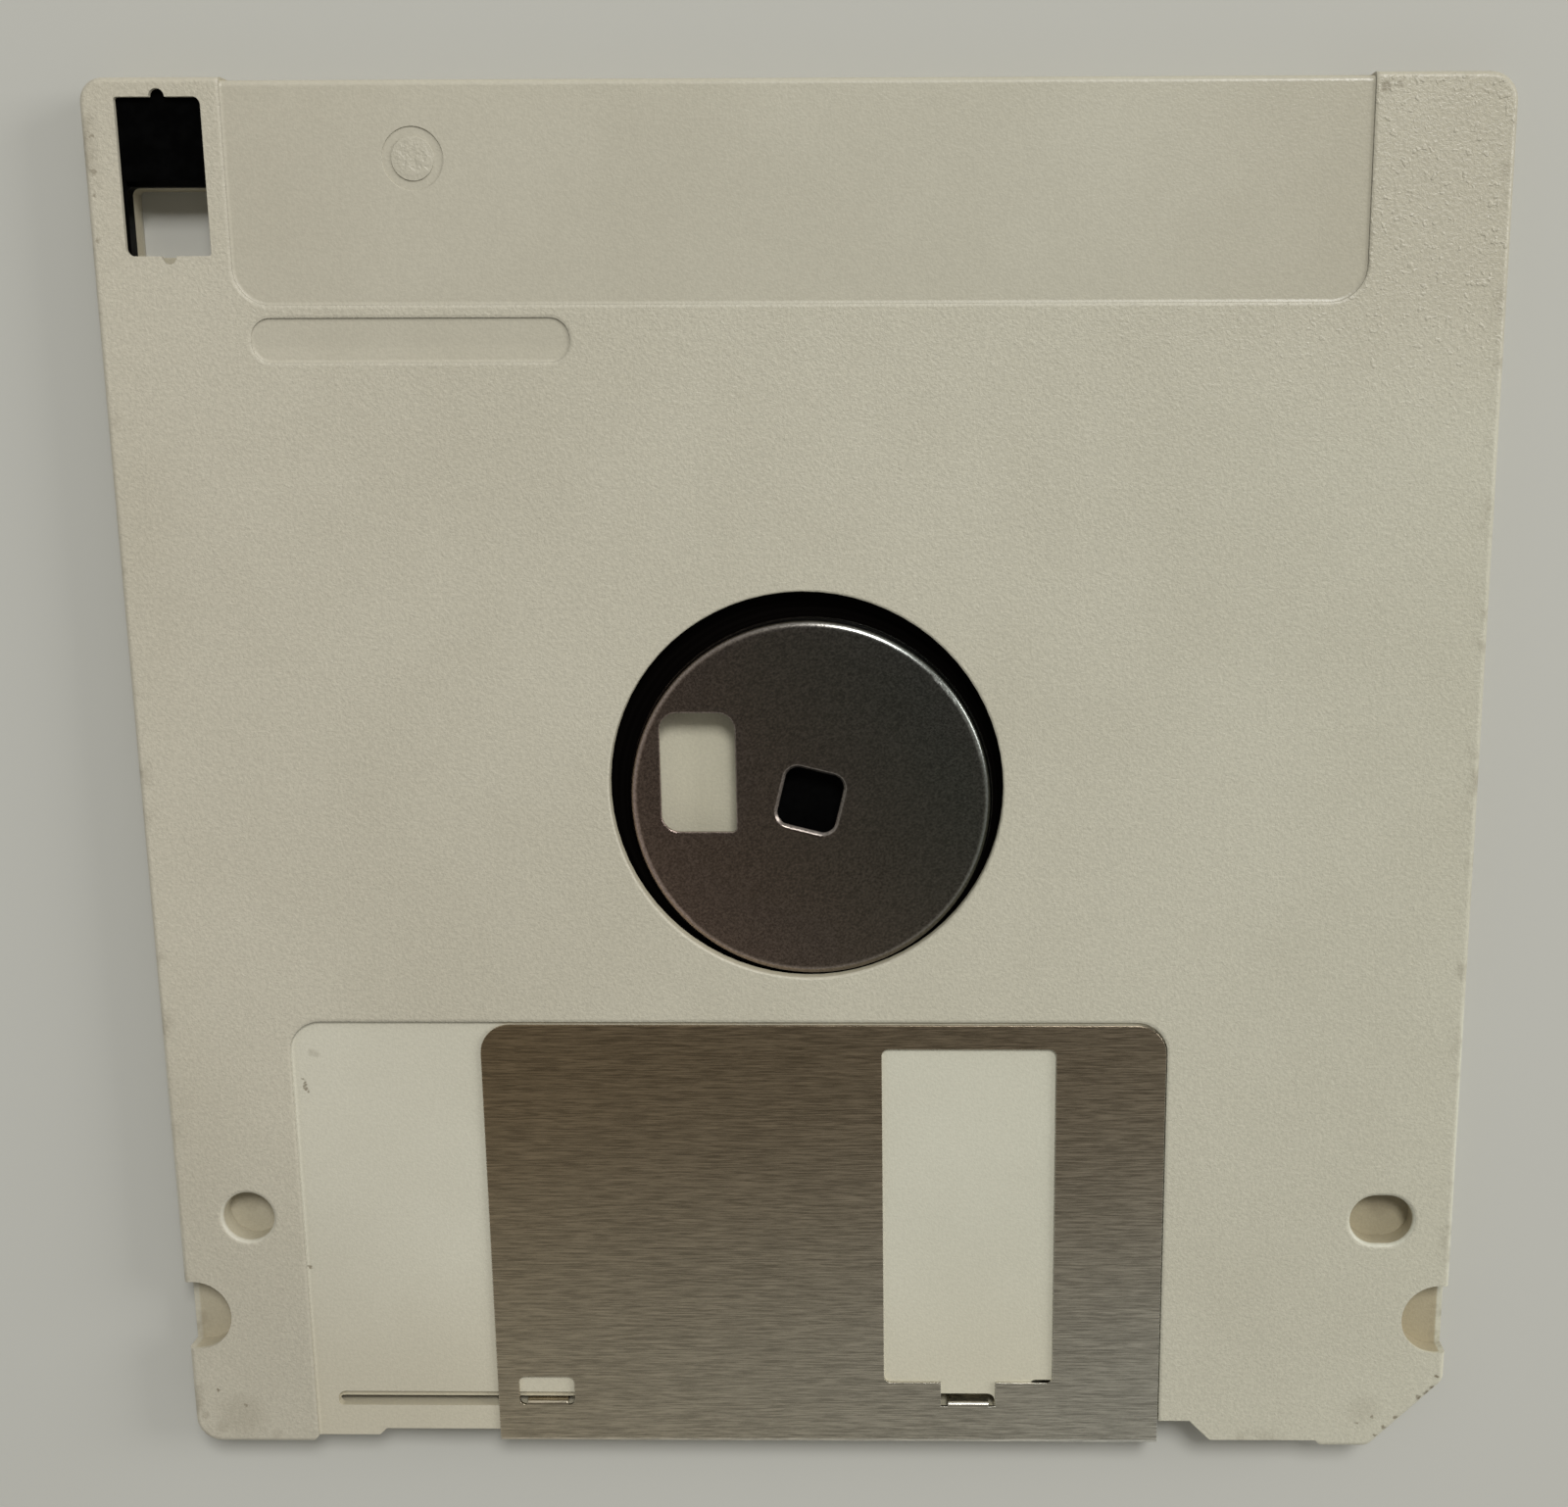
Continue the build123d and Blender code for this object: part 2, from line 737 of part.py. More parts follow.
with BuildPart() as magnetic_disk:
    add(ring(disk_x, disk_y, film_bottom, film_radius, film_hole_radius, film_thickness))

magnetic_disk.part.label = "magnetic_disk"
export_step(magnetic_disk.part, "parts/magnetic_disk.step")

# Shutter: a sheet folded round the shutter edge, with a window and two bent tabs
with BuildPart() as shutter:
    with BuildSketch(Plane.YZ.offset(shutter_left)) as fold:
        with Locations((shutter_bottom, case_height / 2)):
            Rectangle(
                shutter_top - shutter_bottom,
                shutter_high - shutter_low,
                align=(Align.MIN, Align.CENTER),
            )
        for level in (shutter_low, shutter_high):
            fillet(corner(fold, shutter_bottom, level), shutter_bend)
        with BuildSketch(mode=Mode.PRIVATE) as inside:
            with Locations((shutter_bottom + shutter_sheet, case_height / 2)):
                Rectangle(
                    shutter_top - shutter_bottom,
                    shutter_high - shutter_low - 2 * shutter_sheet,
                    align=(Align.MIN, Align.CENTER),
                )
            for level in (shutter_low + shutter_sheet, shutter_high - shutter_sheet):
                fillet(corner(inside, shutter_bottom + shutter_sheet, level), shutter_bend - shutter_sheet)
        add(inside.sketch, mode=Mode.SUBTRACT)
    extrude(amount=shutter_right - shutter_left)
    leaf_corners = shutter.edges().filter_by(Axis.Z).group_by(Axis.Y)[-1]
    fillet(leaf_corners, shutter_corner)

    # Window through both leaves
    with BuildSketch():
        with Locations((window_x, window_bottom)):
            RectangleRounded(
                window_width,
                window_top - window_bottom,
                shutter_window_round,
                align=(Align.CENTER, Align.MIN),
            )
    extrude(amount=case_height, mode=Mode.SUBTRACT)

    # Notch below the window and hole above the spring tab, in the upper leaf alone
    with BuildSketch(Plane.XY.offset(shutter_high)):
        with Locations((window_x, tab_y)):
            Rectangle(
                tab_width + 2 * driver_notch_side,
                window_bottom - tab_y + shutter_window_round,
                align=(Align.CENTER, Align.MIN),
            )
        with Locations((spring_tab_x, tab_y)):
            RectangleRounded(
                tab_width + 2 * spring_hole_side,
                spring_hole_length,
                spring_hole_round,
                align=(Align.CENTER, Align.MIN),
            )
    extrude(amount=-shutter_sheet, mode=Mode.SUBTRACT)
    add(bent_tab(window_x, driver_tab_length))
    add(bent_tab(spring_tab_x, spring_tab_length))

shutter.part.label = "shutter"
export_step(shutter.part, "parts/shutter.step")

# Shutter spring: its first leg ends at the case's side wall, its second at the spring tab
spring_x = -half_width + spring_side_inset
spring_y = -half_length + spring_from_shutter_edge
anchor_x = -half_width + side_wall + spring_wire
anchor_y = -half_length + spring_anchor_up
tip_x = spring_tab_x - tab_width / 2 - spring_wire / 2 - spring_end_gap
tip_y = tab_y + tab_bend - shutter_sheet / 2
anchor_reach = math.hypot(anchor_x - spring_x, anchor_y - spring_y)
tip_reach = math.hypot(tip_x - spring_x, tip_y - spring_y)
anchor_angle = math.atan2(anchor_y - spring_y, anchor_x - spring_x)
tip_angle = math.atan2(tip_y - spring_y, tip_x - spring_x)
start_angle = anchor_angle + math.acos(spring_coil_radius / anchor_reach)
end_angle = tip_angle - math.acos(spring_coil_radius / tip_reach)
sweep_turns = spring_turns + (end_angle - start_angle) / (2 * math.pi)
spring_pitch = spring_wire + spring_turn_gap
coil_height = spring_pitch * sweep_turns
spring_low = (front_wall + rear_ceiling - coil_height) / 2
first_leg = math.sqrt(anchor_reach**2 - spring_coil_radius**2)
second_leg = math.sqrt(tip_reach**2 - spring_coil_radius**2)
coil_turn = end_angle - start_angle
coil_place = Plane(
    (spring_x, spring_y, spring_low),
    x_dir=(math.cos(start_angle), math.sin(start_angle), 0),
    z_dir=(0, 0, 1),
)
with BuildPart() as wound_wire:
    with BuildLine() as wire_line:
        coil = Helix(spring_pitch, coil_height, spring_coil_radius)
        Line((spring_coil_radius, -first_leg, 0), coil @ 0)
        leg_direction = Vector(-math.sin(coil_turn), math.cos(coil_turn), 0)
        Line(coil @ 1, coil @ 1 + second_leg * leg_direction)
    wire_path = wire_line.wire()
    with BuildSketch(Plane(wire_path @ 0, z_dir=wire_path % 0)):
        Circle(spring_wire / 2)
    sweep(path=wire_path, is_frenet=True)

with BuildPart() as shutter_spring:
    add(wound_wire.part.moved(coil_place.location))

shutter_spring.part.label = "shutter_spring"
export_step(shutter_spring.part, "parts/shutter_spring.step")

# Write protection slider: a plate with a side arm, shown at the end that leaves the hole open
with BuildPart() as write_protect_slider:
    with BuildSketch(Plane.XY.offset(slider_low)) as slider_plan:
        with Locations((protect_x, slider_bottom)):
            Rectangle(2 * slider_half, slider_top - slider_bottom, align=(Align.CENTER, Align.MIN))
        with Locations((protect_x - slider_half, arm_bottom)):
            Rectangle(slider_arm_width, slider_bottom - arm_bottom, align=(Align.MIN, Align.MIN))
        arm_corner = (protect_x - slider_half + slider_arm_width, slider_bottom)
        outer_corners = slider_plan.vertices().sort_by_distance(arm_corner)[1:]
        fillet(corner(slider_plan, *arm_corner), slider_inner_round)
        fillet(outer_corners, slider_round)
    extrude(amount=slider_thickness)

    # Bevel of the plate's edge beside the hole
    with BuildSketch(Plane.YZ.offset(arm_corner[0])):
        with BuildLine():
            Polyline(
                (slider_bottom, slider_high - slider_bevel_depth),
                (slider_bottom + slider_bevel_width, slider_high),
                (slider_bottom, slider_high),
                close=True,
            )
        make_face()
    extrude(amount=2 * slider_half, mode=Mode.SUBTRACT)

write_protect_slider.part.label = "write_protect_slider"
export_step(write_protect_slider.part, "parts/write_protect_slider.step")
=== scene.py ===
import json
import math

import bpy
from mathutils import Euler, Matrix, Vector


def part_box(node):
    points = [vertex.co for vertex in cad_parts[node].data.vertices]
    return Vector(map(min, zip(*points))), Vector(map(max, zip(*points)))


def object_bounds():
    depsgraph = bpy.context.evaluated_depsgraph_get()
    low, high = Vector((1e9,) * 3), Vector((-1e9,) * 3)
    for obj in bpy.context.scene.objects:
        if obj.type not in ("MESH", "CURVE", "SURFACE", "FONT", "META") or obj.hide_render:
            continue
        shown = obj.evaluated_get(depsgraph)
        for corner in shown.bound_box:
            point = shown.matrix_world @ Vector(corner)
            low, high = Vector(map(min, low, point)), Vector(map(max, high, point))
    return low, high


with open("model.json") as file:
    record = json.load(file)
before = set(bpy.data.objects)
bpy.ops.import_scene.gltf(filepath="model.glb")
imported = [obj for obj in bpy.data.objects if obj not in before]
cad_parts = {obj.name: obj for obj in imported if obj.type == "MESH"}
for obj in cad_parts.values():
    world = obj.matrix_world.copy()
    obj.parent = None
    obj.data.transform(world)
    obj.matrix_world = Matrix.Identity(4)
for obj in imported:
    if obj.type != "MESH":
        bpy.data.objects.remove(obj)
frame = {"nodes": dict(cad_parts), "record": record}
cad_low, cad_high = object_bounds()
nodes = frame["nodes"]

# A flexible disk lies hub side up on a pale floor. Metres, with +Y towards the label edge.
MM = 0.001

# Where the camera stands, turned a little from straight down, and its picture
CAMERA_PLACE = (9.34 * MM, 27.5 * MM, 126.51 * MM)
CAMERA_TILT = math.radians(11.76)
CAMERA_PAN = math.radians(-0.73)
CAMERA_SENSOR = 36.0
CAMERA_LENS = 43.11
CAMERA_SHIFT = (-0.0875, 0.0194)

# Colours, as linear red, green and blue
PLASTIC = (0.440, 0.417, 0.335)
PLASTIC_SMOOTH = (0.500, 0.486, 0.400)
# Browner plastic of the deep holes: painted shade
PLASTIC_DEEP_SHADE = (0.440, 0.408, 0.305)
# Paler plastic of the slot for the shutter's tabs and of the well behind the hub: painted light
PLASTIC_PAINTED_LIGHT = (0.520, 0.495, 0.385)
# Darker, browner plastic of the deep holes on the right: painted shade
PLASTIC_SHADED = (0.350, 0.305, 0.210)
# Grime, and the painted shade in the locating holes
GRIME_AND_SHADE = (0.125, 0.098, 0.058)
STEEL_WARM = (0.46, 0.39, 0.29)
STEEL_COOL = (0.57, 0.54, 0.475)
# The hub's painted reflection, at its lower left and its upper right
HUB_WARM = (0.345, 0.265, 0.230)
HUB_COOL = (0.208, 0.218, 0.202)
FLOOR = (0.450, 0.447, 0.410)

# The case's middle height, and how far above and below it the textured outer faces begin
MIDDLE_HEIGHT = (cad_low.z + cad_high.z) / 2
FACE_TEXTURE_START = 1.57 * MM
FACE_TEXTURE_FULL = 1.62 * MM

# Outlines of the shallow recesses, in millimetres: left, right, lower and upper end, corner
# radius, and the depth of the relief that softens their edges. An end past the case's edge is open.
LABEL_RECESS = (-36.1, 36.1, 33.1, 60.0, 2.3, 0.12)
LABEL_FACE_RECESS = (-36.1, 36.1, -7.0, 60.0, 2.3, 0.12)
PILL_RECESS = (-35.2, -14.7, 29.5, 32.3, 1.3, 0.10)
SHUTTER_RECESS = (-36.1, 24.68, -60.0, -14.95, 2.2, 0.13)

# Width of that soft edge in millimetres
RECESS_SLOPE = 0.46

# Where the plastic entered the mould, in the label recess: x, y and radius in millimetres
GATE_MARK = (-24.2, 42.05, 1.55)

# Heights of the plastic's grain in millimetres
GRAIN_RECESSED = 0.006
GRAIN_FACE = 0.014
COARSE_CORNER = 0.004
PIMPLES_FACE = 0.008
PIMPLES_CORNER = 0.027
GATE_ROUGH = 0.035

# How much the relief counts: one unit of it is a millimetre
RELIEF_UNIT = 1.0 * MM

# Radii over which sharp edges look rounded
SHELL_EDGE = 0.05 * MM
SHUTTER_EDGE = 0.06 * MM
HUB_EDGE = 0.13 * MM
SLIDER_EDGE = 0.08 * MM

# Lamps: place, size and power in watts
KEY_LAMP = ((0.28, 0.84, 1.09), 0.40, 12.7)
SIDE_LAMP = ((1.15, 0.35, 0.50), 0.50, 6.6)

# The world's colours, by the sine of a direction's height above the horizon. The first one
# holds below 0.5, and 1 is straight up.
SKY = (
    (0.50, (0.52, 0.52, 0.505)),
    (0.80, (0.38, 0.37, 0.335)),
    (0.87, (0.28, 0.27, 0.235)),
    (0.91, (0.185, 0.165, 0.13)),
    (0.95, (0.085, 0.070, 0.052)),
    (1.00, (0.035, 0.035, 0.032)),
)

# Half the floor's width, and the gap between it and the case
FLOOR_HALF = 1.5
FLOOR_GAP = 0.02 * MM


class Material:
    """A material's nodes, with short ways to add and join them."""

    def __init__(self, name):
        self.material = bpy.data.materials.new(name)
        self.material.use_nodes = True
        self.tree = self.material.node_tree
        self.shader = self.tree.nodes["Principled BSDF"]
        self.place = self.add("ShaderNodeTexCoord").outputs["Object"]

    def add(self, kind, **settings):
        node = self.tree.nodes.new(kind)
        for name, value in settings.items():
            setattr(node, name, value)
        return node

    def set(self, socket, value):
        """Gives a socket a plain value, or joins another node's output to it."""
        if isinstance(value, bpy.types.NodeSocket):
            self.tree.links.new(value, socket)
        elif hasattr(socket.default_value, "__len__") and len(socket.default_value) == 4:
            socket.default_value = (*value, 1.0)
        else:
            socket.default_value = value

    def finish(self, **values):
        for name, value in values.items():
            self.set(self.shader.inputs[name.replace("_", " ")], value)

    def math(self, operation, a, b=0.0, c=0.0, clamp=False):
        node = self.add("ShaderNodeMath", operation=operation, use_clamp=clamp)
        for socket, value in zip(node.inputs, (a, b, c)):
            self.set(socket, value)
        return node.outputs[0]

    def product(self, first, *others):
        for other in others:
            first = self.math("MULTIPLY", first, other)
        return first

    def total(self, first, *others):
        for other in others:
            first = self.math("ADD", first, other)
        return first

    def scaled(self, scale):
        """The place, with each axis scaled."""
        node = self.add("ShaderNodeMapping")
        self.set(node.inputs["Vector"], self.place)
        node.inputs["Scale"].default_value = scale
        return node.outputs["Vector"]

    def noise(self, scale, detail=2.0, roughness=0.5, vector=None, distortion=0.0):
        node = self.add("ShaderNodeTexNoise")
        self.set(node.inputs["Vector"], self.place if vector is None else vector)
        node.inputs["Scale"].default_value = scale
        node.inputs["Detail"].default_value = detail
        node.inputs["Roughness"].default_value = roughness
        node.inputs["Distortion"].default_value = distortion
        return node.outputs["Fac"]

    def ramp(self, value, low, high, to_low=0.0, to_high=1.0, smooth=True):
        node = self.add("ShaderNodeMapRange", clamp=True)
        node.interpolation_type = "SMOOTHSTEP" if smooth else "LINEAR"
        for name, given in (
            ("Value", value),
            ("From Min", low),
            ("From Max", high),
            ("To Min", to_low),
            ("To Max", to_high),
        ):
            self.set(node.inputs[name], given)
        return node.outputs["Result"]

    def mix(self, share, a, b):
        node = self.add("ShaderNodeMix", data_type="RGBA")
        self.set(node.inputs["Factor"], share)
        self.set(node.inputs["A"], a)
        self.set(node.inputs["B"], b)
        return node.outputs["Result"]

    def tinted(self, colour, tint):
        node = self.add("ShaderNodeMix", data_type="RGBA", blend_type="MULTIPLY")
        self.set(node.inputs["Factor"], 1.0)
        self.set(node.inputs["A"], colour)
        self.set(node.inputs["B"], tint)
        return node.outputs["Result"]

    def axes(self):
        """The place's X, Y and Z."""
        node = self.add("ShaderNodeSeparateXYZ")
        self.set(node.inputs["Vector"], self.place)
        return node.outputs

    def vector(self, operation, a, b=(0.0, 0.0, 0.0)):
        node = self.add("ShaderNodeVectorMath", operation=operation)
        self.set(node.inputs[0], a)
        self.set(node.inputs[1], b)
        return node.outputs["Value" if operation in ("DISTANCE", "LENGTH") else "Vector"]

    def times(self, colour, factor):
        node = self.add("ShaderNodeVectorMath", operation="SCALE")
        self.set(node.inputs[0], colour)
        self.set(node.inputs["Scale"], factor)
        return node.outputs["Vector"]

    def near(self, x, y, radius, soft=0.5, plan=None):
        """1 at a place on the case, seen from above, fading to 0 at a radius in millimetres."""
        plan = self.scaled((1.0, 1.0, 0.0)) if plan is None else plan
        away = self.vector("DISTANCE", plan, (x * MM, y * MM, 0.0))
        return self.ramp(away, radius * MM, radius * (1.0 - soft) * MM)

    def recess(self, outline):
        """Depth in millimetres of a shallow recess with a soft edge, seen from above."""
        left, right, low, high, radius, depth = outline
        middle = ((left + right) / 2 * MM, (low + high) / 2 * MM, 0.0)
        inner = (((right - left) / 2 - radius) * MM, ((high - low) / 2 - radius) * MM, 0.0)
        plan = self.scaled((1.0, 1.0, 0.0))
        away = self.vector("ABSOLUTE", self.vector("SUBTRACT", plan, middle))
        past = self.vector("MAXIMUM", self.vector("SUBTRACT", away, inner))
        outside = self.math("SUBTRACT", self.vector("LENGTH", past), radius * MM)
        return self.ramp(outside, RECESS_SLOPE / 2 * MM, -RECESS_SLOPE / 2 * MM, 0.0, depth)

    def bump(self, height, distance, strength=1.0, normal=None):
        node = self.add("ShaderNodeBump")
        node.inputs["Strength"].default_value = strength
        node.inputs["Distance"].default_value = distance
        self.set(node.inputs["Height"], height)
        if normal is not None:
            self.set(node.inputs["Normal"], normal)
        return node.outputs["Normal"]

    def soft_edges(self, radius):
        """A normal that rounds the sharp edges of a piece."""
        node = self.add("ShaderNodeBevel", samples=6)
        node.inputs["Radius"].default_value = radius
        return node.outputs["Normal"]


def rear_speckles_and_hole_shade(paint):
    """Dirt on the hub side, and painted shade in the two locating holes, as a share of grime. Places
    and radii in millimetres, then strength.
    """
    marks = (
        (44.47, -41.39, 0.22, 0.85),
        (44.23, -42.24, 0.26, 0.85),
        (43.84, -42.70, 0.30, 0.80),
        (43.30, -43.09, 0.24, 0.85),
        (41.69, -44.64, 0.22, 0.70),
        (40.88, -45.50, 0.26, 0.70),
        (40.27, -46.05, 0.20, 0.70),
        (40.00, -44.63, 0.18, 0.60),
        (38.97, -45.10, 0.18, 0.60),
        (39.30, -44.00, 1.60, 0.12),
        (-43.08, -42.90, 0.20, 0.75),
        (-41.25, -44.06, 0.18, 0.60),
        (-44.28, -44.87, 0.45, 0.22),
        (-43.02, -45.80, 0.75, 0.20),
        (-41.60, -44.90, 2.40, 0.16),
        (-39.10, -46.34, 0.60, 0.14),
        (-35.89, -33.38, 0.22, 0.70),
        (-35.12, -20.16, 0.15, 0.60),
        (-35.30, -19.95, 0.18, 0.70),
        (-35.26, -19.72, 0.18, 0.70),
        (-35.35, -19.48, 0.17, 0.70),
        (-35.44, -19.22, 0.15, 0.60),
        (-34.75, -17.25, 0.36, 0.22),
        (-34.42, -17.42, 0.32, 0.22),
        (36.70, 46.10, 0.45, 0.45),
        (37.60, 46.20, 0.35, 0.35),
        (-44.35, 43.44, 0.22, 0.50),
        (-44.45, 41.30, 0.26, 0.50),
        (-44.45, 39.89, 0.20, 0.50),
        (-44.45, 37.10, 0.20, 0.45),
        # These two darken the floors of the locating holes: painted shade
        (40.20, -28.70, 1.50, 0.30),
        (-40.30, -28.70, 1.30, 0.22),
    )
    ragged = paint.add("ShaderNodeTexNoise")
    paint.set(ragged.inputs["Vector"], paint.place)
    ragged.inputs["Scale"].default_value = 2600.0
    shift = paint.vector("SUBTRACT", ragged.outputs["Color"], (0.5, 0.5, 0.5))
    moved = paint.vector("ADD", paint.place, paint.times(shift, 0.55 * MM))
    plan = paint.vector("MULTIPLY", moved, (1.0, 1.0, 0.0))
    strongest = 0.0
    for x, y, radius, strength in marks:
        mark = paint.product(paint.near(x, y, radius, 0.7, plan), strength)
        strongest = paint.math("MAXIMUM", strongest, mark)
    return strongest


def shell_relief(paint, face, corner, upper):
    """Height of the shell's surface in millimetres: its recesses' soft edges, grain and gate mark."""
    on_hub_side = paint.total(paint.recess(LABEL_RECESS), paint.recess(PILL_RECESS))
    on_label_side = paint.recess(LABEL_FACE_RECESS)
    depth = paint.total(
        paint.product(upper, on_hub_side),
        paint.product(paint.math("SUBTRACT", 1.0, upper), on_label_side),
        paint.recess(SHUTTER_RECESS),
    )

    fine = paint.ramp(paint.noise(5600.0, detail=2.0, roughness=0.6), 0.33, 0.67)
    coarse = paint.ramp(paint.noise(2100.0, detail=2.0, roughness=0.6), 0.35, 0.65)
    pimples = paint.ramp(paint.noise(2300.0, detail=1.0), 0.62, 0.74)
    rough = paint.product(corner, face)
    gate_x, gate_y, gate_radius = GATE_MARK
    gate = paint.product(upper, paint.near(gate_x, gate_y, gate_radius, 0.4))
    grain = paint.total(
        paint.product(fine, paint.ramp(face, 0.0, 1.0, GRAIN_RECESSED, GRAIN_FACE)),
        paint.product(coarse, rough, COARSE_CORNER),
        paint.product(pimples, face, PIMPLES_FACE),
        paint.product(pimples, rough, PIMPLES_CORNER),
        paint.product(coarse, gate, GATE_ROUGH),
    )
    return paint.math("SUBTRACT", grain, depth)


def shell_plastic():
    """Moulded plastic: pebbled on the outer faces, smooth in the recesses, a little soiled, with
    painted light and shade in its deep holes.
    """
    paint = Material("shell_plastic")
    x, y, z = paint.axes()
    side = paint.math("ABSOLUTE", x)

    # 1 in the upper half of the case, and 1 above the wall of the label side
    upper = paint.ramp(z, MIDDLE_HEIGHT, MIDDLE_HEIGHT + 0.1 * MM)
    hub_side = paint.ramp(z, 0.9 * MM, 1.2 * MM)

    # 1 on the outer faces, and 1 in the recesses and on the sides
    from_middle = paint.math("ABSOLUTE", paint.math("SUBTRACT", z, MIDDLE_HEIGHT))
    face = paint.ramp(from_middle, FACE_TEXTURE_START, FACE_TEXTURE_FULL)
    recessed = paint.math("SUBTRACT", 1.0, face)
    label = paint.product(recessed, paint.ramp(y, 30.0 * MM, 31.0 * MM), upper)
    smooth = paint.product(recessed, paint.ramp(y, -12.0 * MM, -16.0 * MM))

    # 1 on the walls and floors of the deep holes, inside the outline
    deep = paint.product(
        paint.ramp(from_middle, 1.40 * MM, 1.30 * MM),
        paint.ramp(side, 44.7 * MM, 44.5 * MM),
        paint.ramp(y, -44.7 * MM, -44.5 * MM),
    )
    deep_right = paint.product(deep, paint.ramp(x, 33.0 * MM, 37.0 * MM))
    in_well = paint.product(deep, paint.near(0.0, 1.5, 13.0, 0.1))
    in_slot = paint.product(deep, paint.ramp(y, -40.0 * MM, -41.0 * MM))

    # The texture is coarser near the upper right corner of the hub side
    corner = paint.product(
        paint.ramp(x, 12.0 * MM, 44.0 * MM),
        paint.ramp(y, 22.0 * MM, 36.0 * MM),
        upper,
    )
    relief = shell_relief(paint, face, corner, upper)
    normal = paint.bump(relief, RELIEF_UNIT, 1.0, paint.soft_edges(SHELL_EDGE))

    # Colour: paler in the shutter's recess; paler still in the slot for its tabs and behind the hub,
    # which is painted light; browner in the other deep holes and darker still in those on the right,
    # which is painted shade
    base = paint.mix(smooth, PLASTIC, PLASTIC_SMOOTH)
    # Painted shade: browner in the deep holes
    base = paint.mix(deep, base, PLASTIC_DEEP_SHADE)
    # Painted shade: darker and browner in the deep holes on the right
    base = paint.mix(deep_right, base, PLASTIC_SHADED)
    # Painted light: paler in the slot for the shutter's tabs and in the well behind the hub
    base = paint.mix(paint.math("MAXIMUM", in_well, in_slot), base, PLASTIC_PAINTED_LIGHT)

    # Tint: pinker to the left and greener to the right
    across = paint.ramp(x, -45.0 * MM, 45.0 * MM, smooth=False)
    base = paint.tinted(base, paint.mix(across, (1.005, 0.988, 0.985), (0.995, 1.015, 1.005)))

    # A little darker at the lower left, at the foot of the shutter's recess and in the corner
    lower_left = paint.ramp(paint.math("ADD", x, y), -50.0 * MM, -84.0 * MM)
    base = paint.times(base, paint.ramp(lower_left, 0.0, 1.0, 1.0, 0.90))
    recess_foot = paint.product(smooth, paint.ramp(y, -28.0 * MM, -46.0 * MM))
    base = paint.tinted(base, paint.mix(recess_foot, (1.0, 1.0, 1.0), (0.97, 0.94, 0.90)))
    base = paint.tinted(base, paint.mix(corner, (1.0, 1.0, 1.0), (0.95, 0.925, 0.915)))

    # Mottled in wide patches and in fine speckles, and a little darker in the label recess
    mottle = paint.ramp(paint.noise(55.0, detail=4.0, roughness=0.6), 0.3, 0.7)
    base = paint.tinted(base, paint.mix(mottle, (0.97, 0.965, 0.955), (1.03, 1.03, 1.03)))
    speckle = paint.ramp(paint.noise(4300.0, detail=1.0), 0.3, 0.7, -0.5, 0.5)
    spread = paint.ramp(recessed, 0.0, 1.0, 0.10, 0.06)
    base = paint.times(base, paint.math("MULTIPLY_ADD", speckle, spread, 1.0))
    base = paint.times(base, paint.ramp(label, 0.0, 1.0, 1.0, 0.95))

    # Dirt: marks on the hub side and soiling along the outline, and painted shade in the two locating
    # holes
    edge_x = paint.ramp(side, 43.6 * MM, 45.0 * MM)
    edge_y = paint.ramp(y, -45.2 * MM, -47.0 * MM)
    patches = paint.ramp(paint.noise(420.0, detail=3.0, roughness=0.65), 0.52, 0.72)
    soiling = paint.product(paint.math("MAXIMUM", edge_x, edge_y), patches, 0.35)
    marks = paint.product(hub_side, rear_speckles_and_hole_shade(paint))
    colour = paint.mix(paint.math("MAXIMUM", soiling, marks), base, GRIME_AND_SHADE)

    sheen = paint.ramp(corner, 0.0, 1.0, 0.46, 0.34)
    roughness = paint.math("SUBTRACT", sheen, paint.product(recessed, 0.04))
    paint.finish(Base_Color=colour, Roughness=roughness, Normal=normal)
    paint.shader.inputs["Specular IOR Level"].default_value = 0.4
    return paint.material


def shutter_steel():
    """Sheet steel brushed across, browner towards its left, with a painted reflection that darkens
    and browns it towards the top and lightens it towards the bottom.
    """
    paint = Material("shutter_steel")
    x, y = paint.axes()[:2]
    short_way = paint.scaled((500.0, 14000.0, 14000.0))
    long_way = paint.scaled((170.0, 7500.0, 7500.0))
    fine = paint.noise(1.0, detail=3.0, roughness=0.7, vector=short_way)
    long = paint.noise(1.0, detail=2.0, roughness=0.6, vector=long_way)
    brush = paint.total(paint.product(fine, 0.80), paint.product(long, 0.20))
    side = paint.ramp(x, -23.0 * MM, 24.0 * MM, smooth=False)
    tone = paint.mix(side, STEEL_WARM, STEEL_COOL)
    # Painted reflection: darker and browner towards the top, lighter towards the bottom
    down = paint.ramp(y, -15.0 * MM, -46.0 * MM)
    tone = paint.tinted(tone, paint.mix(down, (0.78, 0.70, 0.60), (1.14, 1.18, 1.20)))
    lines = paint.ramp(brush, 0.37, 0.63, 0.68, 1.26)
    normal = paint.bump(brush, 0.004 * MM, 0.5, paint.soft_edges(SHUTTER_EDGE))
    roughness = paint.ramp(brush, 0.35, 0.65, 0.25, 0.30)
    tangent = paint.add("ShaderNodeCombineXYZ")
    tangent.inputs["Y"].default_value = 1.0
    paint.finish(Base_Color=paint.times(tone, lines), Roughness=roughness, Normal=normal)
    paint.shader.inputs["Metallic"].default_value = 1.0
    paint.shader.inputs["Anisotropic"].default_value = 0.35
    paint.set(paint.shader.inputs["Tangent"], tangent.outputs["Vector"])
    return paint.material


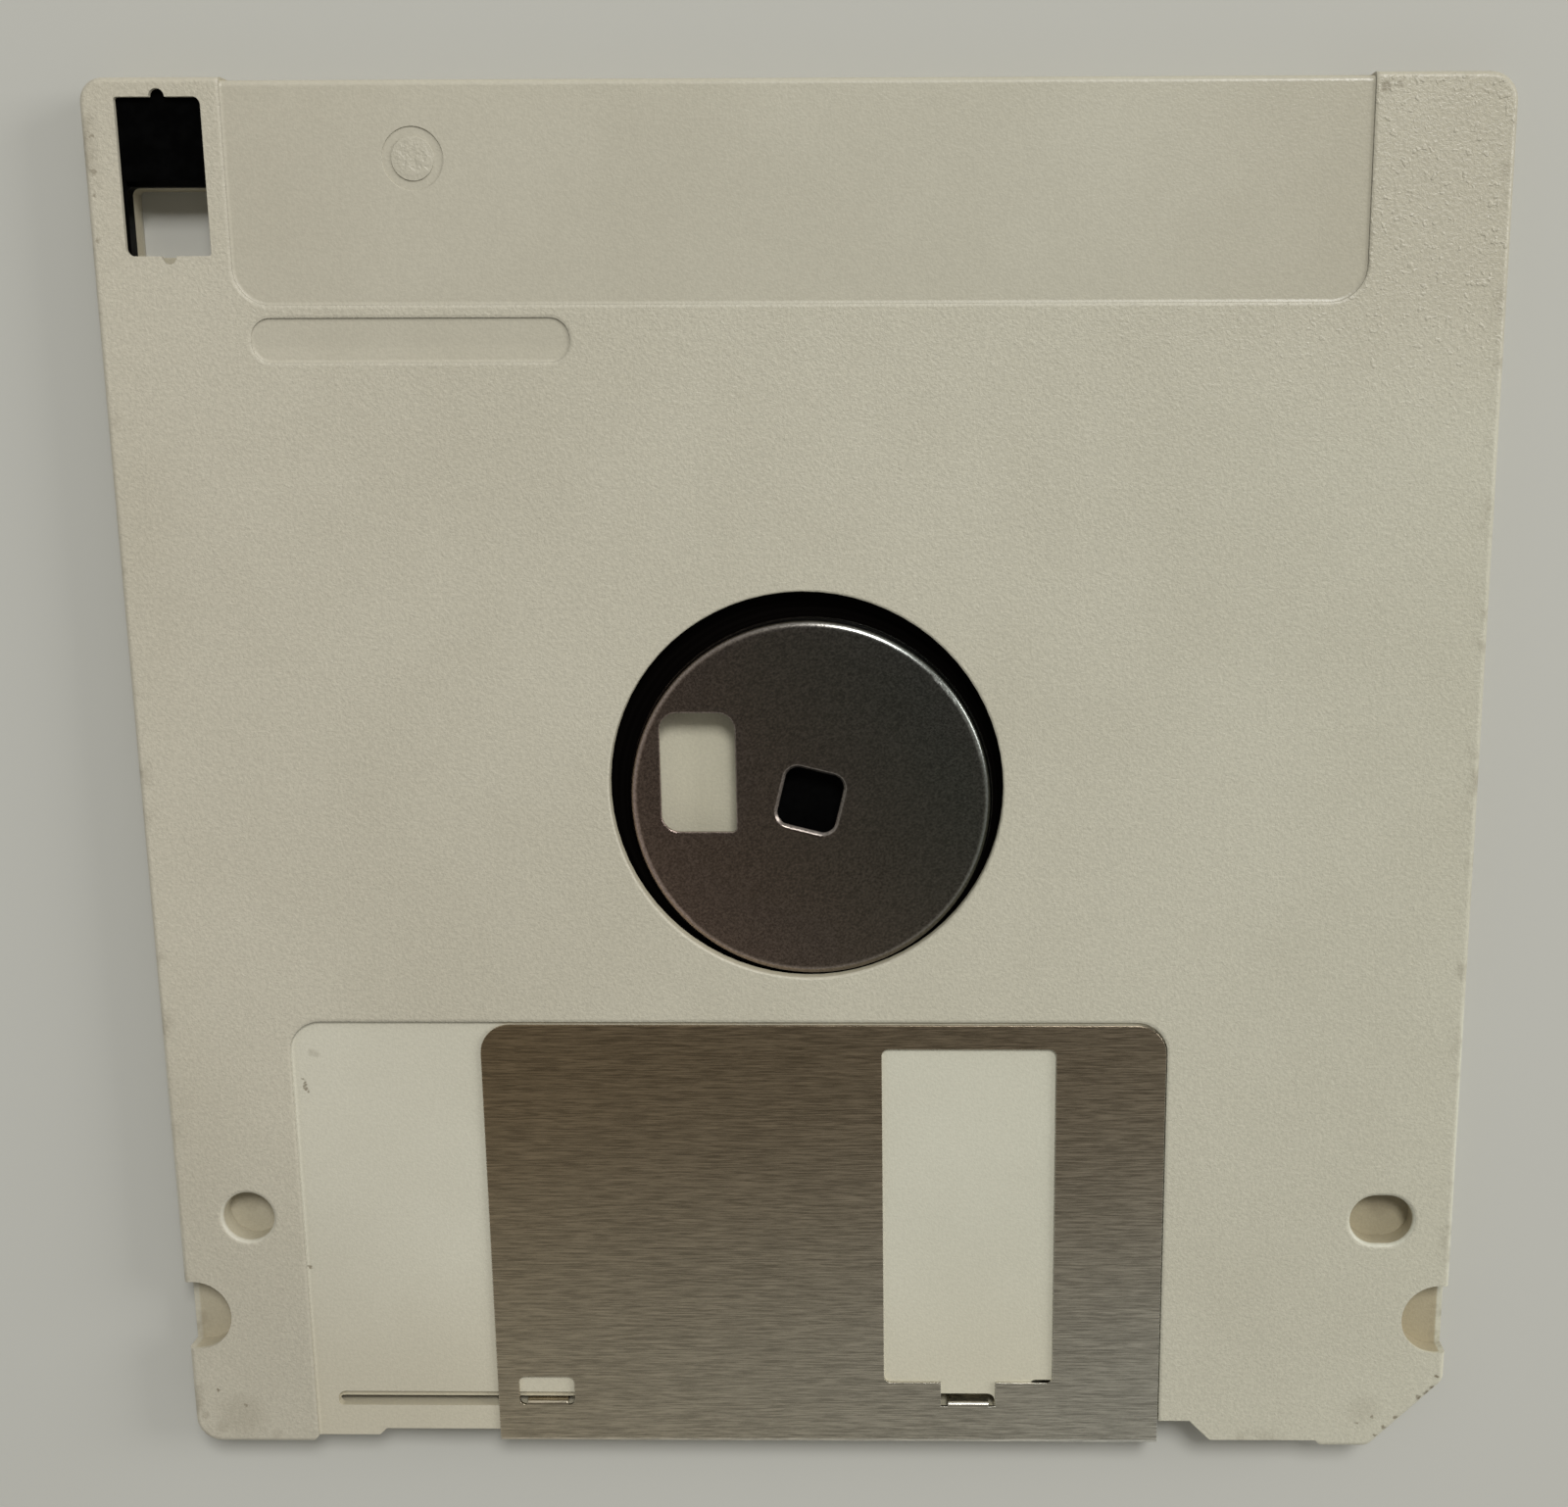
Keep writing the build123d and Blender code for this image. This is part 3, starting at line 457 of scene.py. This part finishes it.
def hub_steel():
    """Pressed steel with a fine satin grain, and a painted reflection that is lighter and browner
    towards its lower left.
    """
    paint = Material("hub_steel")
    x, y = paint.axes()[:2]
    grain = paint.noise(7000.0, detail=3.0, roughness=0.7)
    # Painted reflection: lighter and browner towards the lower left, darker and greyer towards the
    # upper right
    side = paint.math("MULTIPLY_ADD", y, 0.4, x)
    side = paint.ramp(side, -12.0 * MM, 11.0 * MM, smooth=False)
    tone = paint.mix(side, HUB_WARM, HUB_COOL)
    shades = paint.ramp(grain, 0.3, 0.7, 0.72, 1.26)
    roughness = paint.ramp(grain, 0.3, 0.7, 0.23, 0.27)
    normal = paint.bump(grain, 0.004 * MM, 0.5, paint.soft_edges(HUB_EDGE))
    paint.finish(Base_Color=paint.times(tone, shades), Roughness=roughness, Normal=normal)
    paint.shader.inputs["Metallic"].default_value = 1.0
    return paint.material


def spring_steel():
    """Drawn wire."""
    paint = Material("spring_steel")
    drawn = paint.noise(6000.0, detail=2.0)
    paint.finish(
        Base_Color=paint.mix(drawn, (0.48, 0.47, 0.45), (0.60, 0.59, 0.57)),
        Roughness=paint.ramp(drawn, 0.3, 0.7, 0.22, 0.34),
    )
    paint.shader.inputs["Metallic"].default_value = 1.0
    return paint.material


def slider_plastic():
    """Smooth black plastic with a few dull marks."""
    paint = Material("slider_plastic")
    marks = paint.noise(900.0, detail=4.0, roughness=0.6)
    paint.finish(
        Base_Color=paint.mix(marks, (0.0003, 0.0003, 0.0003), (0.0009, 0.0009, 0.0009)),
        Roughness=paint.ramp(marks, 0.35, 0.75, 0.3, 0.55),
        Normal=paint.bump(marks, 0.01 * MM, 0.3, paint.soft_edges(SLIDER_EDGE)),
    )
    paint.shader.inputs["Specular IOR Level"].default_value = 0.03
    return paint.material


def magnetic_film():
    """Dark brown coated film, with faint rings."""
    paint = Material("magnetic_film")
    centre = Vector(((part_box("hub")[0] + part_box("hub")[1]) / 2).xy)
    away = paint.vector("DISTANCE", paint.scaled((1.0, 1.0, 0.0)), (centre.x, centre.y, 0.0))
    rings = paint.add("ShaderNodeTexNoise", noise_dimensions="1D")
    paint.set(rings.inputs["W"], away)
    rings.inputs["Scale"].default_value = 4000.0
    shade = rings.outputs["Fac"]
    paint.finish(
        Base_Color=paint.mix(shade, (0.0010, 0.0008, 0.0007), (0.0022, 0.0017, 0.0014)),
        Roughness=paint.ramp(shade, 0.3, 0.7, 0.22, 0.32),
    )
    paint.shader.inputs["Specular IOR Level"].default_value = 0.04
    return paint.material


def liner_fabric():
    """Thin white fabric of pressed fibres."""
    paint = Material("liner_fabric")
    fibres = paint.noise(1500.0, detail=5.0, roughness=0.75, distortion=1.2)
    paint.finish(
        Base_Color=paint.mix(fibres, (0.62, 0.62, 0.60), (0.80, 0.80, 0.78)),
        Roughness=0.95,
        Normal=paint.bump(fibres, 0.08 * MM, 0.7),
    )
    return paint.material


def lifter_film():
    """Cloudy polyester leaf."""
    paint = Material("lifter_film")
    cloud = paint.noise(300.0, detail=3.0)
    paint.finish(
        Base_Color=paint.mix(cloud, (0.66, 0.66, 0.62), (0.74, 0.74, 0.71)),
        Roughness=paint.ramp(cloud, 0.3, 0.7, 0.2, 0.3),
    )
    return paint.material


def pad_plastic():
    """Black plastic of low friction, with a polished patch."""
    paint = Material("pad_plastic")
    wear = paint.noise(2500.0, detail=3.0)
    paint.finish(
        Base_Color=paint.mix(wear, (0.0006, 0.0006, 0.0006), (0.0016, 0.0016, 0.0016)),
        Roughness=paint.ramp(wear, 0.3, 0.7, 0.45, 0.6),
    )
    paint.shader.inputs["Specular IOR Level"].default_value = 0.03
    return paint.material


def adhesive():
    """Soft adhesive, yellowed."""
    paint = Material("adhesive")
    mottle = paint.noise(800.0, detail=3.0)
    paint.finish(
        Base_Color=paint.mix(mottle, (0.012, 0.010, 0.008), (0.020, 0.017, 0.013)),
        Roughness=paint.ramp(mottle, 0.3, 0.7, 0.5, 0.7),
    )
    return paint.material


def dress():
    """Gives each node of the frame its material, by the slot that the record names."""
    makers = {
        "shell_plastic": shell_plastic,
        "shutter_steel": shutter_steel,
        "hub_steel": hub_steel,
        "spring_steel": spring_steel,
        "slider_plastic": slider_plastic,
        "magnetic_film": magnetic_film,
        "liner_fabric": liner_fabric,
        "lifter_film": lifter_film,
        "pad_plastic": pad_plastic,
        "adhesive": adhesive,
    }
    made = {slot: maker() for slot, maker in makers.items()}
    for subpart in frame["record"]["subparts"]:
        piece = nodes[subpart["node"]]
        piece.data.materials.clear()
        piece.data.materials.append(made[subpart["material_slot"]])


def floor():
    """A plain pale floor, wide enough for every view."""
    half = FLOOR_HALF
    mesh = bpy.data.meshes.new("floor")
    corners = [(-half, -half, 0.0), (half, -half, 0.0), (half, half, 0.0), (-half, half, 0.0)]
    mesh.from_pydata(corners, [], [(0, 1, 2, 3)])
    piece = bpy.data.objects.new("floor", mesh)
    piece.location.z = cad_low.z - FLOOR_GAP
    bpy.context.scene.collection.objects.link(piece)
    paint = Material("floor")
    paint.finish(Base_Color=FLOOR, Roughness=0.9)
    paint.shader.inputs["Specular IOR Level"].default_value = 0.1
    mesh.materials.append(paint.material)


def soft_lamp(name, place, size, power):
    """A square lamp that points at the object."""
    data = bpy.data.lights.new(name, "AREA")
    data.shape = "SQUARE"
    data.size = size
    data.energy = power
    piece = bpy.data.objects.new(name, data)
    piece.location = place
    piece.rotation_euler = (-Vector(place)).to_track_quat("-Z", "Y").to_euler()
    bpy.context.scene.collection.objects.link(piece)


def lights():
    """Two soft lamps, and a world that is dark overhead and bright towards the horizon."""
    soft_lamp("key_lamp", *KEY_LAMP)
    soft_lamp("side_lamp", *SIDE_LAMP)

    world = bpy.data.worlds.new("studio")
    bpy.context.scene.world = world
    world.use_nodes = True
    tree = world.node_tree
    background = tree.nodes["Background"]
    place = tree.nodes.new("ShaderNodeTexCoord")
    split = tree.nodes.new("ShaderNodeSeparateXYZ")
    tree.links.new(place.outputs["Generated"], split.inputs["Vector"])
    ramp = tree.nodes.new("ShaderNodeValToRGB")
    tree.links.new(split.outputs["Z"], ramp.inputs["Fac"])
    colours = ramp.color_ramp
    while len(colours.elements) < len(SKY):
        colours.elements.new(0.5)
    for element, (position, colour) in zip(colours.elements, SKY):
        element.position = position
        element.color = (*colour, 1.0)
    tree.links.new(ramp.outputs["Color"], background.inputs["Color"])


def camera():
    """The photograph's camera."""
    data = bpy.data.cameras.new("camera")
    data.sensor_width = CAMERA_SENSOR
    data.lens = CAMERA_LENS
    data.shift_x, data.shift_y = CAMERA_SHIFT
    data.clip_start = 0.01
    data.clip_end = 10.0
    piece = bpy.data.objects.new("camera", data)
    turn = Euler((CAMERA_TILT, CAMERA_PAN, 0.0), "XYZ").to_matrix().transposed()
    piece.matrix_world = Matrix.Translation(CAMERA_PLACE) @ turn.to_4x4()
    bpy.context.scene.collection.objects.link(piece)
    bpy.context.scene.camera = piece


scene = bpy.context.scene
scene.view_settings.view_transform = "Standard"

dress()
floor()
lights()
camera()
